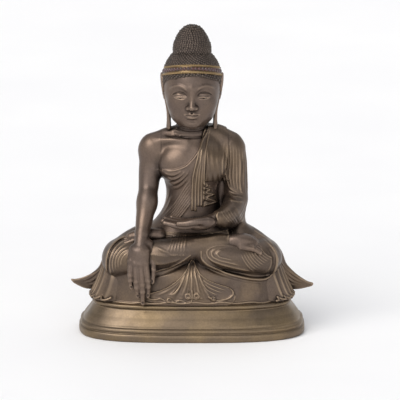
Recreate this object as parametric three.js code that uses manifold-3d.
// A seated Buddha in cast bronze, one hand reaching down to touch the earth, on an oval plinth.
// It is built from separate hollow and solid castings, located on each other by blind dowels. Four lugs
// under the seat pass through the plinth's deck and are locked below it by cross keys.
// Millimetres, +Z up. The origin is the middle of the plinth's foot, and the figure faces -Y.
import * as THREE from "three";
import { mergeVertices } from "three/addons/utils/BufferGeometryUtils.js";
import { LoftGeometry } from "three/addons/geometries/LoftGeometry.js";
import Module from "manifold-3d";

const wasm = await Module();
wasm.setup();

// ---- Driving dimensions ----
const HEIGHT = 450; // foot of the plinth to the crown of the topknot
const WING_REACH = 174; // middle to the tip of each robe wing
const PLINTH = { halfWidth: 162, halfDepth: 86, height: 50, deck: 4.5, power: 3 };
const WALL = 4.5; // of the hollow castings
const GAP = 0.3; // between two castings that meet
const WAIST_Z = 150; // where the torso casting stands on the seat casting
const NECK_Z = 285; // where the head casting stands on the torso
const SHOULDER_X = { right: -44, left: 46 }; // where each arm casting meets the torso
const WRIST = {
  right: { at: [-71, -52, 151], towardsHand: [-0.14, -0.62, -0.772] },
  left: { at: [38, -45, 175], towardsHand: [-0.969, -0.24, -0.06] },
};

const BRONZE = { color: 0x6f5d4a, roughness: 0.42, metalness: 0.9 };
const DARK_BRONZE = { color: 0x4a3f36, roughness: 0.55, metalness: 0.85 };
const GOLD = { color: 0xb08a4a, roughness: 0.3, metalness: 1 };
const GLASS = { color: 0x5a1218, roughness: 0.15, metalness: 0 };
const SHELL_WHITE = { color: 0xd8d0c0, roughness: 0.25, metalness: 0 };

// ---- Solids ----

// A closed three.js geometry as a solid: positions only, doubled vertices merged, empty triangles dropped.
function solid(geometry) {
  const bare = new THREE.BufferGeometry();
  bare.setAttribute("position", geometry.getAttribute("position"));
  if (geometry.index) bare.setIndex(geometry.index);
  const merged = mergeVertices(bare, 1e-4);
  const corners = merged.index.array;
  const kept = [];
  for (let i = 0; i < corners.length; i += 3) {
    const [a, b, c] = corners.slice(i, i + 3);
    if (a !== b && b !== c && c !== a) kept.push(a, b, c);
  }
  const vertProperties = merged.attributes.position.array;
  return new wasm.Manifold(new wasm.Mesh({ numProp: 3, vertProperties, triVerts: new Uint32Array(kept) }));
}

const join = (solids) => solids.reduce((whole, piece) => whole.add(piece));

// Turns a geometry made along +Y so that it runs from one point towards another.
function along(geometry, from, to) {
  const start = new THREE.Vector3(...from);
  const direction = new THREE.Vector3(...to).sub(start).normalize();
  const turn = new THREE.Quaternion().setFromUnitVectors(new THREE.Vector3(0, 1, 0), direction);
  return geometry.applyQuaternion(turn).translate(start.x, start.y, start.z);
}

// A tapered limb with round ends, from one centre to the next.
function limb(from, to, startRadius, endRadius, sides = 10) {
  const length = new THREE.Vector3(...from).distanceTo(new THREE.Vector3(...to));
  const lean = Math.asin((startRadius - endRadius) / length);
  const steps = Math.max(2, Math.round(sides / 5));
  const profile = [];
  for (let i = 0; i <= steps; i += 1) {
    const angle = -Math.PI / 2 + (Math.PI / 2 + lean) * (i / steps);
    profile.push(new THREE.Vector2(startRadius * Math.cos(angle), startRadius * Math.sin(angle)));
  }
  for (let i = 0; i <= steps; i += 1) {
    const angle = lean + (Math.PI / 2 - lean) * (i / steps);
    profile.push(new THREE.Vector2(endRadius * Math.cos(angle), length + endRadius * Math.sin(angle)));
  }
  return solid(along(new THREE.LatheGeometry(profile, sides), from, to));
}

// Several limbs end to end: each joint is [x, y, z, radius].
function chain(joints, sides = 10, grow = 0) {
  const limbs = [];
  for (let i = 1; i < joints.length; i += 1) {
    const [start, end] = [joints[i - 1], joints[i]];
    limbs.push(limb(start.slice(0, 3), end.slice(0, 3), start[3] + grow, end[3] + grow, sides));
  }
  return join(limbs);
}

function ellipsoid(centre, radii, sides = 16) {
  const ball = new THREE.SphereGeometry(1, sides, sides / 2).rotateX(Math.PI / 2);
  return solid(ball.scale(...radii).translate(...centre));
}

// A loft up Z through superellipses: each station is [z, x radius, y radius, y centre, x centre].
function column(stations, { power = 2, sides = 22, grow = 0 } = {}) {
  const bend = (wave) => Math.sign(wave) * Math.abs(wave) ** (2 / power);
  const sections = stations.map(([z, xRadius, yRadius, y = 0, x = 0]) =>
    Array.from({ length: sides }, (_, i) => {
      const angle = (i / sides) * 2 * Math.PI;
      const [c, s] = [bend(Math.cos(angle)), bend(Math.sin(angle))];
      return new THREE.Vector3(x + (xRadius + grow) * c, y + (yRadius + grow) * s, z);
    }),
  );
  return solid(new LoftGeometry(sections, { capStart: true, capEnd: true }));
}

// A flat outline in X and Z, from the front face at y = front back to y = back.
function slab(outline, front, back) {
  const shape = new THREE.Shape(outline.map(([x, z]) => new THREE.Vector2(x, z)));
  const plate = new THREE.ExtrudeGeometry(shape, { depth: back - front, bevelEnabled: false });
  return solid(plate.rotateX(Math.PI / 2).translate(0, back, 0));
}

function block([x0, y0, z0], [x1, y1, z1]) {
  const box = new THREE.BoxGeometry(x1 - x0, y1 - y0, z1 - z0);
  return solid(box.translate((x0 + x1) / 2, (y0 + y1) / 2, (z0 + z1) / 2));
}

function rod(from, to, radius, sides = 8) {
  const length = new THREE.Vector3(...from).distanceTo(new THREE.Vector3(...to));
  const bar = new THREE.CylinderGeometry(radius, radius, length, sides).translate(0, length / 2, 0);
  return solid(along(bar, from, to));
}

// The side of a plane through a point that its normal points to.
function beyond(piece, normal, point) {
  const unit = new THREE.Vector3(...normal).normalize();
  return piece.trimByPlane(unit.toArray(), unit.dot(new THREE.Vector3(...point)));
}

const away = (vector) => vector.map((value) => -value);
const shifted = (point, direction, by) => point.map((value, i) => value + direction[i] * by);
const mirrored = (points) => points.map(([x, ...rest]) => [-x, ...rest]);
const grown = ({ centre, radii }, by, sides) => ellipsoid(centre, radii.map((radius) => radius + by), sides);
const largest = (piece) => piece.decompose().sort((a, b) => b.volume() - a.volume())[0];

// ---- The parts list ----

// The groups of the assembly, each placed in its parent at a joint; `at` is in the frame of the whole.
const GROUPS = {
  buddha: { at: [0, 0, 0] },
  figure: { parent: "buddha", at: [0, 0, PLINTH.height + GAP] },
  upper_body: { parent: "figure", at: [0, 6, WAIST_Z + GAP] },
  right_limb: { parent: "upper_body", at: [SHOULDER_X.right, 5, 262] },
  left_limb: { parent: "upper_body", at: [SHOULDER_X.left, 5, 262] },
  head_and_hair: { parent: "upper_body", at: [0, 6, NECK_Z + GAP] },
};

// Castings are cut to each other in the frame of the whole, and moved into their groups at the end.
const parts = new Map();

function put(name, group, piece, look = BRONZE) {
  parts.set(name, { group, piece, look });
}

function change(name, edit) {
  const part = parts.get(name);
  part.piece = edit(part.piece);
}

const cut = (name, tool) => change(name, (piece) => piece.subtract(tool));

// A round pin about the middle of its own length, placed and turned by its mesh.
function putPin(name, group, centre, direction, radius, length) {
  const turn = new THREE.Quaternion().setFromUnitVectors(
    new THREE.Vector3(0, 0, 1),
    new THREE.Vector3(...direction).normalize(),
  );
  const piece = rod([0, 0, -length / 2], [0, 0, length / 2], radius);
  parts.set(name, { group, piece, look: DARK_BRONZE, at: centre, turn });
}

// A blind dowel that locates two castings across their joint.
function dowel(name, first, second, centre, direction, radius = 2, length = 14) {
  const unit = new THREE.Vector3(...direction).normalize().toArray();
  const half = length / 2 + GAP;
  const hole = rod(shifted(centre, unit, -half), shifted(centre, unit, half), radius + GAP, 10);
  cut(first, hole);
  cut(second, hole);
  putPin(name, parts.get(first).group, centre, unit, radius, length);
}

// ---- Plinth ----

// Heights and how far each lies inside the foot's outline: foot band, two fillets, hollow flank, rolled lip.
const PLINTH_PROFILE = [
  [0, 2], [2.5, 0], [10.5, 0], [12, 2.6], [14, 1.8], [18, 3], [19.5, 5.6],
  [27, 11], [35, 16.5], [41.5, 20.5], [44, 19.5], [47.5, 18], [PLINTH.height, 20],
];
const LUGS = [[-88, 18], [88, 18], [-52, -34], [52, -34]];
const LUG = { radius: 6, below: 13, keyRadius: 1.8, keyHalfLength: 11, clearance: 0.5 };
const DECK_UNDERSIDE = PLINTH.height - PLINTH.deck;

function plinth() {
  const { halfWidth, halfDepth, height, power } = PLINTH;
  const ring = ([z, inset]) => [z, halfWidth - inset, halfDepth - inset];
  const inside = [[-1, 9.5], [20, 12.5], [DECK_UNDERSIDE - 8, 25], [DECK_UNDERSIDE, 27]];
  const outside = column(PLINTH_PROFILE.map(ring), { power, sides: 36 });
  const hollow = column(inside.map(ring), { power, sides: 24 });
  const holes = LUGS.map(([x, y]) => rod([x, y, 30], [x, y, height + 5], LUG.radius + LUG.clearance, 12));
  return outside.subtract(hollow).subtract(join(holes));
}

put("plinth", "buddha", plinth());

// ---- Seat and crossed legs ----

const SKIRT = [[50, 127, 59, -4], [70, 125, 57, -4], [92, 119, 54, -4], [112, 96, 44, 0]];
const BELLY = [[106, 76, 50, 4], [135, 66, 47, 6], [WAIST_Z, 60, 43, 6], [164, 48, 37, 5]];
const BUTTOCKS = { centre: [0, 22, 98], radii: [84, 40, 54] };
const THIGH = [[38, 20, 120, 33], [101, -14, 107, 27]]; // the left one, from hip to knee
const LEFT_SHIN = [[104, -30, 111, 26], [58, -44, 116, 25], [6, -50, 112, 20]];
const RIGHT_SHIN = [[-104, -30, 109, 25], [-40, -47, 119, 24], [46, -44, 134, 14]];

function lowerBody(grow) {
  const legs = [THIGH, mirrored(THIGH), LEFT_SHIN, RIGHT_SHIN].map((leg) => chain(leg, 10, grow));
  const skirt = column(SKIRT, { power: 2.7, sides: 24, grow });
  return join([skirt, column(BELLY, { grow }), grown(BUTTOCKS, grow), ...legs]);
}

// A hollow casting, open below the skirt and at the waist. The lugs hang from its roof.
function seat() {
  const bottom = PLINTH.height + GAP;
  const shell = lowerBody(0).subtract(lowerBody(-WALL));
  const trimmed = beyond(beyond(shell, [0, 0, 1], [0, 0, bottom]), [0, 0, -1], [0, 0, WAIST_Z]);
  const lugs = LUGS.map(([x, y]) => rod([x, y, DECK_UNDERSIDE - LUG.below], [x, y, 60], LUG.radius, 10));
  const stems = LUGS.map(([x, y]) => rod([x, y, 59], [x, y, WAIST_Z], LUG.radius, 10));
  return trimmed.add(join(stems).intersect(lowerBody(-1))).add(join(lugs));
}

put("seat_and_crossed_legs", "figure", seat());

LUGS.forEach(([x, y], i) => {
  const z = DECK_UNDERSIDE - LUG.keyRadius - GAP;
  cut("seat_and_crossed_legs", rod([x - 8, y, z], [x + 8, y, z], LUG.keyRadius + GAP, 10));
  putPin(`lug_key_${i + 1}`, "buddha", [x, y, z], [1, 0, 0], LUG.keyRadius, 2 * LUG.keyHalfLength);
});

// ---- Torso and arms ----

const TORSO = [
  [WAIST_Z + GAP, 60, 43, 6], [162, 49, 38, 5], [176, 40, 33, 3], [190, 35, 30, 1], [204, 34, 29, 1],
  [220, 38, 31, 1], [235, 44, 33, 2], [250, 50, 33, 3], [262, 53, 31, 5], [274, 46, 26, 7],
  [NECK_Z, 26, 20, 8],
];
const YOKE = [[-13, 8, 278, 14], [-56, 5, 259, 18.5]]; // neck to shoulder
const RIGHT_ARM = [[-57, 5, 257, 18], [-62, -12, 204, 14.5], [-71, -52, 151, 10.5], [-73, -60, 141, 11]];
const LEFT_UPPER_ARM = [[57, 5, 258, 19], [64, 4, 190, 17]];
const LEFT_FOREARM = [[64, 4, 188, 17], [38, -45, 175, 12.5], [30, -49, 174, 10]];
const ARMPIT_Z = 214; // below it the arms stand clear of the torso
const SHOULDER_WALL = 10; // holds a shoulder dowel
const COLLAR = { bottom: 143, thickness: 3.5 }; // the torso's spigot in the seat's waist

function trunk(grow) {
  return join([column(TORSO, { grow }), chain(YOKE, 10, grow), chain(mirrored(YOKE), 10, grow)]);
}

function trunkAndArms(grow) {
  return join([trunk(grow), chain(RIGHT_ARM, 10, grow), chain(LEFT_UPPER_ARM, 10, grow)]);
}

function collar() {
  const tube = (inset, low) =>
    column([[low, 60, 43, 6], [151, 60, 43, 6], [160, 51, 39, 5]], { grow: -inset });
  const outer = WALL + GAP;
  return tube(outer, COLLAR.bottom).subtract(tube(outer + COLLAR.thickness, COLLAR.bottom - 1));
}

function torso(whole) {
  const { right, left } = SHOULDER_X;
  const lowTorso = beyond(column(TORSO), [0, 0, -1], [0, 0, ARMPIT_Z]);
  const chest = whole.intersect(block([right + GAP, -120, ARMPIT_Z], [left - GAP, 80, NECK_Z]));
  const room = block([right + SHOULDER_WALL, -90, 100], [left - SHOULDER_WALL, 90, 272]).add(
    block([-90, -90, 100], [90, 90, ARMPIT_Z]),
  );
  const neckBore = rod([0, 6, 262], [0, 6, 300], 12, 14);
  const cavity = column(TORSO, { sides: 16, grow: -WALL }).intersect(room).add(neckBore);
  const mouth = column([[140, 52, 36, 6], [152, 52, 36, 6]]);
  return chest.add(lowTorso).subtract(cavity).subtract(mouth).add(collar());
}

// An arm is what lies outside a shoulder plane, and outside the torso below the armpit.
function arm(whole, inner, outer, lowInner) {
  const side = (from, to, z0, z1) => block([Math.min(from, to), -120, z0], [Math.max(from, to), 80, z1]);
  const region = side(inner, outer, ARMPIT_Z, 330).add(side(lowInner, outer, 100, ARMPIT_Z + 1));
  const lowTorso = beyond(column(TORSO, { grow: GAP }), [0, 0, -1], [0, 0, ARMPIT_Z]);
  return whole.intersect(region).subtract(lowTorso);
}

const betweenJoints = (piece) => piece.intersect(block([-200, -200, WAIST_Z + GAP], [200, 200, NECK_Z]));
const upperBody = betweenJoints(trunkAndArms(0));
const leftForearm = chain(LEFT_FOREARM, 10).subtract(column(TORSO, { grow: GAP }));

put("torso", "upper_body", torso(upperBody));
put("right_arm", "right_limb", arm(upperBody, SHOULDER_X.right, -140, -46));
put("left_arm", "left_limb", arm(upperBody, SHOULDER_X.left, 140, 46).add(leftForearm));

// ---- Hands ----

const RIGHT_FINGERS = {
  thumb: [[-62, -60, 134, 6], [-56, -66, 112, 4.6], [-57, -69, 93, 3.8]],
  index: [[-66, -70, 116, 5], [-63, -74, 92, 4.2], [-64, -72, 66, 3.2]],
  middle: [[-73, -72, 114, 5], [-71, -76, 88, 4.3], [-70, -70, 55, 3.3]],
  ring: [[-81, -72, 114, 4.9], [-79, -75, 92, 4.2], [-77, -71, 66, 3.1]],
  little: [[-88, -70, 116, 4.5], [-88, -73, 98, 3.8], [-85, -70, 78, 3]],
};
const LEFT_FINGERS = {
  thumb: [[22, -62, 176, 5.6], [4, -68, 176, 4.6], [-14, -67, 175, 3.6]],
  index: [[2, -60, 171, 4.8], [-16, -61, 169, 4.2], [-36, -58, 170, 3.2]],
  middle: [[2, -53, 171, 4.8], [-18, -54, 169, 4.2], [-40, -53, 170, 3.2]],
  ring: [[2, -46, 171, 4.7], [-16, -47, 170, 4.1], [-36, -47, 171, 3.1]],
  little: [[4, -40, 172, 4.3], [-12, -41, 171, 3.7], [-28, -42, 172, 3]],
};
const RIGHT_PALM = [[-71, -52, 151, 10.5], [-72, -63, 132, 10], [-74, -69, 118, 9]];
const RIGHT_HEEL = [[-84, -65, 126, 7.5], [-84, -70, 116, 6.5]];
const LEFT_PALM = [[38, -46, 175, 10], [22, -52, 173, 9.5], [8, -54, 171, 8]];
const LEFT_HEEL = [[20, -45, 172, 7.5], [6, -44, 171, 6]];

function hand(palm, heel, fingers) {
  return join([chain(palm), chain(heel), ...Object.values(fingers).map((joints) => chain(joints, 6))]);
}

const legRoom = lowerBody(GAP); // the seat with room around it
const torsoRoom = column(TORSO, { grow: GAP });

put("right_hand", "right_limb", hand(RIGHT_PALM, RIGHT_HEEL, RIGHT_FINGERS).subtract(legRoom));
put("left_hand", "left_limb", hand(LEFT_PALM, LEFT_HEEL, LEFT_FINGERS).subtract(torsoRoom));

// Each wrist joint is a plane square to its forearm.
function fitWrist(arm, hand, { at, towardsHand }) {
  change(hand, (piece) => beyond(piece, towardsHand, shifted(at, towardsHand, GAP)));
  change(arm, (piece) => beyond(piece, away(towardsHand), at));
}

fitWrist("right_arm", "right_hand", WRIST.right);
fitWrist("left_arm", "left_hand", WRIST.left);
cut("right_arm", legRoom);

// ---- Feet, soles up on the thighs ----

const RIGHT_FOOT = [[50, -43, 141, 12], [74, -39, 141, 11], [98, -35, 139, 9]];
const LEFT_FOOT = [[-44, -24, 143, 11], [-72, -22, 140, 10], [-94, -20, 138, 8]];

function foot(sole, side, toeLength) {
  const ball = sole[2].slice(0, 3);
  const toes = [-2, -1, 0, 1, 2].map((i) => {
    const from = shifted(ball, [0, 1, 0], i * 3.6);
    const to = shifted(from, [side, 0.1, -0.12], toeLength - Math.abs(i + 1) * 1.2);
    return limb(from, to, 3.2, 2.6, 5);
  });
  return join([chain(sole, 10), ...toes]).subtract(legRoom);
}

put("right_foot", "figure", foot(RIGHT_FOOT, 1, 14));
put("left_foot", "figure", foot(LEFT_FOOT, -1, 12));

// ---- Robe pieces ----

const LEFT_WING = [
  [112, 126], [124, 119], [131, 106], [139, 93], [152, 80], [WING_REACH, 66],
  [166, 62.5], [150, 58.5], [138, 57], [112, 62],
];
const RIGHT_WING = [
  [112, 124], [123, 115], [129, 100], [137, 87], [150, 77], [WING_REACH, 71],
  [164, 65], [151, 59.5], [138, 57.5], [112, 62],
];
const PLEATS = [[106, 112], [122, 104], [130, 88], [135, 70], [141, 58], [138, 51.5], [108, 50.6], [104, 70]];
const FAN = [
  [-2, 97], [-14, 84], [-34, 72], [-54, 61], [-56, 52], [-30, 50.6], [0, 50.6], [30, 50.6],
  [46, 53], [44, 64], [28, 74], [8, 86],
];

const hung = (outline, front, back) => largest(slab(outline, front, back).subtract(legRoom));

put("robe_wing_right", "figure", hung(mirrored(RIGHT_WING), 4, 12));
put("robe_wing_left", "figure", hung(LEFT_WING, 4, 12));
put("robe_pleats_right", "figure", hung(mirrored(PLEATS), -40, 3.7));
put("robe_pleats_left", "figure", hung(PLEATS, -40, 3.7));
put("front_robe_fan", "figure", hung(FAN, -69, -50));

// Cloth of a given thickness that lies on the trunk and arms, inside a box.
function drape(thickness, low, high) {
  const cloth = trunkAndArms(GAP + thickness).intersect(block(low, high));
  return largest(cloth.subtract(trunkAndArms(GAP)));
}

put("shoulder_shawl", "upper_body", drape(4, [24, -60, 206], [61, 60, 310]));
put("pleated_sash", "upper_body", drape(4.5, [-2, -60, 176], [23.7, -6, 275]));

// ---- Head ----

const SKULL = { centre: [0, 4, 366], radii: [42, 48, 46.5] };
const JAW = { centre: [0, -10, 338], radii: [33, 34, 36] };
const NECK = [[0, 7, 270, 23], [0, 4, 312, 21.5]];
const BAND = { tilt: -0.24, frontY: -42, low: 387, high: 396, thickness: 3.3 }; // edge heights are at frontY
const HAIR = { thickness: 2.7, napeZ: 330, backY: 10 };
const EYE = { x: 15.5, y: -36, z: 352, radii: [6.5, 4.5, 2.8] };

const bandNormal = [0, -BAND.tilt, 1];
const aboveBand = (piece, z) => beyond(piece, bandNormal, [0, BAND.frontY, z]);
const belowBand = (piece, z) => beyond(piece, away(bandNormal), [0, BAND.frontY, z]);
const skullLayer = (inner, outer) => grown(SKULL, outer, 20).subtract(grown(SKULL, inner, 20));

function head() {
  const nose = limb([0, -44, 354], [0, -49, 335], 3.2, 6, 8);
  const lips = limb([-7, -42, 323], [7, -42, 323], 4, 4, 8);
  const chin = limb([0, -36, 310], [0, -30, 314], 9, 10, 8);
  const outside = join([grown(SKULL, 0, 20), grown(JAW, 0, 18), chain(NECK, 12), nose, lips, chin]);
  const neckBore = rod([0, 5, 260], [0, 3, 330], 12, 12);
  const inside = join([grown(SKULL, -WALL, 14), grown(JAW, -WALL, 12), neckBore]);
  return beyond(outside.subtract(inside), [0, 0, 1], [0, 0, NECK_Z + GAP]);
}

// A shell of curls over the skull, down to the band in front and to the nape behind.
function hairCap() {
  const hair = skullLayer(GAP, GAP + HAIR.thickness).subtract(grown(JAW, GAP, 18));
  const back = beyond(beyond(hair, [0, 1, 0], [0, HAIR.backY, 0]), [0, 0, 1], [0, 0, HAIR.napeZ]);
  return aboveBand(hair, BAND.high + 3.4).add(back);
}

function headband() {
  const strip = skullLayer(GAP, GAP + BAND.thickness);
  const fitted = belowBand(aboveBand(strip, BAND.low), BAND.high);
  return beyond(fitted, [0, -1, 0], [0, HAIR.backY - GAP, 0]);
}

function glassStrip() {
  const inner = 2 * GAP + BAND.thickness;
  const fitted = belowBand(aboveBand(skullLayer(inner, inner + 1.2), BAND.low + 2.4), BAND.high - 2.4);
  return beyond(fitted, [0, -1, 0], [0, -6, 0]);
}

// The point on the grown skull at some angle from the front, in a plane parallel to the band's.
function onSkull(angle, height, by) {
  const [rx, ry, rz] = SKULL.radii.map((radius) => radius + by);
  const point = new THREE.Vector3(0, BAND.frontY, height);
  for (let round = 0; round < 12; round += 1) {
    point.z = height + BAND.tilt * (point.y - BAND.frontY);
    const share = Math.sqrt(1 - ((point.z - SKULL.centre[2]) / rz) ** 2);
    point.set(rx * share * Math.sin(angle), SKULL.centre[1] - ry * share * Math.cos(angle), point.z);
  }
  return point;
}

// The beaded wire along an edge of the band, kept as a plain round wire.
function beadWire(height) {
  const radius = 1.2;
  const reach = THREE.MathUtils.degToRad(88);
  const clear = 2 * GAP + radius;
  const points = Array.from({ length: 23 }, (_, i) => onSkull(reach * (i / 11 - 1), height, clear));
  const section = new THREE.Shape().absarc(0, 0, radius, 0, 2 * Math.PI);
  const extrudePath = new THREE.CatmullRomCurve3(points);
  return solid(
    new THREE.ExtrudeGeometry(section, { steps: 26, curveSegments: 3, bevelEnabled: false, extrudePath }),
  );
}

function topknot() {
  const profile = [
    [0, 402], [26, 402], [27.6, 410], [27, 420], [24, 431], [19, 440], [12, 446.5], [5, 449.5], [0, HEIGHT],
  ].map(([radius, z]) => new THREE.Vector2(radius, z));
  const dome = solid(new THREE.LatheGeometry(profile, 22).rotateX(Math.PI / 2).translate(0, 6, 0));
  return dome.subtract(grown(SKULL, 2 * GAP + HAIR.thickness, 20));
}

// The shell of the ear, then the long lobe that hangs to the shoulder.
const EAR = [
  [292, 1.6, 3, -2, 35.5], [299, 3, 5.2, -2, 35.5], [312, 2.8, 5, -1, 36.5], [328, 2.8, 5, 0, 39],
  [340, 3.2, 5.2, 1, 42], [350, 3.8, 6, 2, 44], [362, 4.2, 6.4, 3, 44.5], [369, 4, 6, 3, 44],
  [372.4, 2, 3, 3, 43.5],
];

function ear(side) {
  const shell = column(EAR.map(([z, rx, ry, y, x]) => [z, rx, ry, y, x * side]), { sides: 10 });
  const fitted = shell.subtract(grown(SKULL, GAP, 20)).subtract(grown(JAW, GAP, 18)).subtract(trunk(GAP));
  return largest(fitted);
}

put("head", "head_and_hair", head());
put("hair_cap", "head_and_hair", hairCap(), DARK_BRONZE);
put("topknot", "head_and_hair", topknot(), DARK_BRONZE);
put("headband", "head_and_hair", headband(), GOLD);
put("headband_glass_strip", "head_and_hair", glassStrip(), GLASS);
put("headband_lower_bead_wire", "head_and_hair", beadWire(BAND.low - 1.6), GOLD);
put("headband_upper_bead_wire", "head_and_hair", beadWire(BAND.high + 1.7), GOLD);
put("right_ear", "head_and_hair", ear(-1));
put("left_ear", "head_and_hair", ear(1));

for (const [side, sign] of [["right", -1], ["left", 1]]) {
  const socket = { centre: [sign * EYE.x, EYE.y, EYE.z], radii: EYE.radii };
  cut("head", grown(socket, GAP, 12));
  put(`${side}_eye_inlay`, "head_and_hair", grown(socket, 0, 12), SHELL_WHITE);
}

// ---- Dowels across the joints ----
dowel("waist_pin_right", "seat_and_crossed_legs", "torso", [-55.6, 6, 146.5], [1, 0, 0], 1.6, 9);
dowel("waist_pin_left", "seat_and_crossed_legs", "torso", [55.6, 6, 146.5], [1, 0, 0], 1.6, 9);
dowel("neck_dowel_right", "torso", "head", [-16.5, 6, NECK_Z], [0, 0, 1]);
dowel("neck_dowel_left", "torso", "head", [16.5, 6, NECK_Z], [0, 0, 1]);
dowel("right_shoulder_dowel", "torso", "right_arm", [SHOULDER_X.right, 5, 262], [1, 0, 0], 3, 18);
dowel("left_shoulder_dowel", "torso", "left_arm", [SHOULDER_X.left, 5, 262], [1, 0, 0], 3, 18);
dowel("right_wrist_dowel", "right_arm", "right_hand", WRIST.right.at, WRIST.right.towardsHand, 3, 16);
dowel("left_wrist_dowel", "left_arm", "left_hand", WRIST.left.at, WRIST.left.towardsHand, 3, 16);
dowel("right_foot_dowel", "seat_and_crossed_legs", "right_foot", [74, -39, 139], [0, 0, 1], 2, 10);
dowel("left_foot_dowel", "seat_and_crossed_legs", "left_foot", [-72, -22, 138], [0, 0, 1], 2, 10);
dowel("right_wing_dowel", "seat_and_crossed_legs", "robe_wing_right", [-123, 8, 80], [1, 0, 0]);
dowel("left_wing_dowel", "seat_and_crossed_legs", "robe_wing_left", [123, 8, 80], [1, 0, 0]);
dowel("right_pleats_dowel", "seat_and_crossed_legs", "robe_pleats_right", [-126, -16, 64], [1, 0, 0], 2, 10);
dowel("left_pleats_dowel", "seat_and_crossed_legs", "robe_pleats_left", [126, -16, 64], [1, 0, 0], 2, 10);
dowel("front_fan_dowel", "seat_and_crossed_legs", "front_robe_fan", [-4, -61, 70], [0, 1, 0], 2, 10);

// ---- The assembly ----

const groups = {};
for (const [name, { parent, at }] of Object.entries(GROUPS)) {
  groups[name] = new THREE.Group();
  groups[name].name = name;
  if (!parent) continue;
  groups[name].position.set(...at).sub(new THREE.Vector3(...GROUPS[parent].at));
  groups[parent].add(groups[name]);
}

for (const [name, { group, piece, look, at, turn }] of parts) {
  const joint = GROUPS[group].at;
  const { vertProperties, triVerts } = (at ? piece : piece.translate(away(joint))).getMesh();
  const geometry = new THREE.BufferGeometry();
  geometry.setAttribute("position", new THREE.BufferAttribute(vertProperties, 3));
  geometry.setIndex(new THREE.BufferAttribute(triVerts, 1));
  geometry.computeVertexNormals();
  const mesh = new THREE.Mesh(geometry, new THREE.MeshStandardMaterial(look));
  mesh.name = name;
  if (at) mesh.position.set(...at).sub(new THREE.Vector3(...joint));
  if (turn) mesh.quaternion.copy(turn);
  groups[group].add(mesh);
}

export default groups.buddha;
